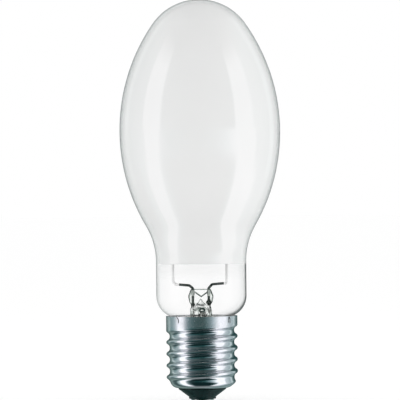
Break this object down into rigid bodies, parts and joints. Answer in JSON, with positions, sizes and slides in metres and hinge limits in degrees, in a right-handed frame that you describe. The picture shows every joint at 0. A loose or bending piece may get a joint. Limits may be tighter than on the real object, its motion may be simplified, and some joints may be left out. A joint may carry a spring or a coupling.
{
  "type": "high pressure sodium lamp",
  "caption": "High pressure sodium lamp: ellipsoidal white-coated bulb with a clear neck, glass stem and leads inside, on a nickelled E40 screw cap.",
  "frame": {"origin": "centre of the flat lower face of the centre contact's solder button", "axes": "+Z along the lamp's axis from the cap to the dome, +X from the long frame rod to the short one, -Y towards the front"},
  "size_m": [0.0874, 0.0874, 0.2192],
  "materials": {
    "clear_glass": "clear and glossy",
    "white_coating": "matt white powder layer",
    "stem_glass": "clear, with pinched marks",
    "dark_wire": "dark oxidised wire",
    "nickel_wire": "bright drawn nickel wire",
    "alumina": "translucent sintered alumina",
    "niobium": "drawn grey metal tube",
    "tungsten": "dark grey wire",
    "amalgam": "bright metal bead",
    "spring_steel": "rolled strip",
    "copper_wire": "drawn copper wire",
    "cement": "rough buff cement",
    "cap_nickel": "nickel plate, slightly satin",
    "black_glass": "glossy black glass",
    "contact_plate": "pressed plate with a bright tin coat",
    "solder": "dull solder"
  },
  "bodies": {
    "root": {"outer_bulb": "clear_glass", "diffuser_coating": "white_coating", "glass_stem": "stem_glass", "exhaust_tube": "stem_glass", "lead_in_left": "dark_wire", "lead_in_right": "dark_wire", "frame_rod_left": "nickel_wire", "frame_rod_right": "nickel_wire", "arc_tube": "alumina", "end_plug_lower": "alumina", "end_plug_upper": "alumina", "niobium_tube_lower": "niobium", "niobium_tube_upper": "niobium", "electrode_lower": "tungsten", "electrode_upper": "tungsten", "amalgam_bead": "amalgam", "ignition_wire": "tungsten", "strap_lower": "nickel_wire", "strap_upper": "nickel_wire", "dome_spring_left": "spring_steel", "dome_spring_right": "spring_steel", "getter_left": "spring_steel", "getter_right": "spring_steel", "contact_lead": "copper_wire", "shell_lead": "copper_wire", "basing_cement": "cement", "cap_shell": "cap_nickel", "cap_insulator": "black_glass", "centre_contact": "contact_plate", "contact_solder": "solder"}
  },
  "joints": []
}
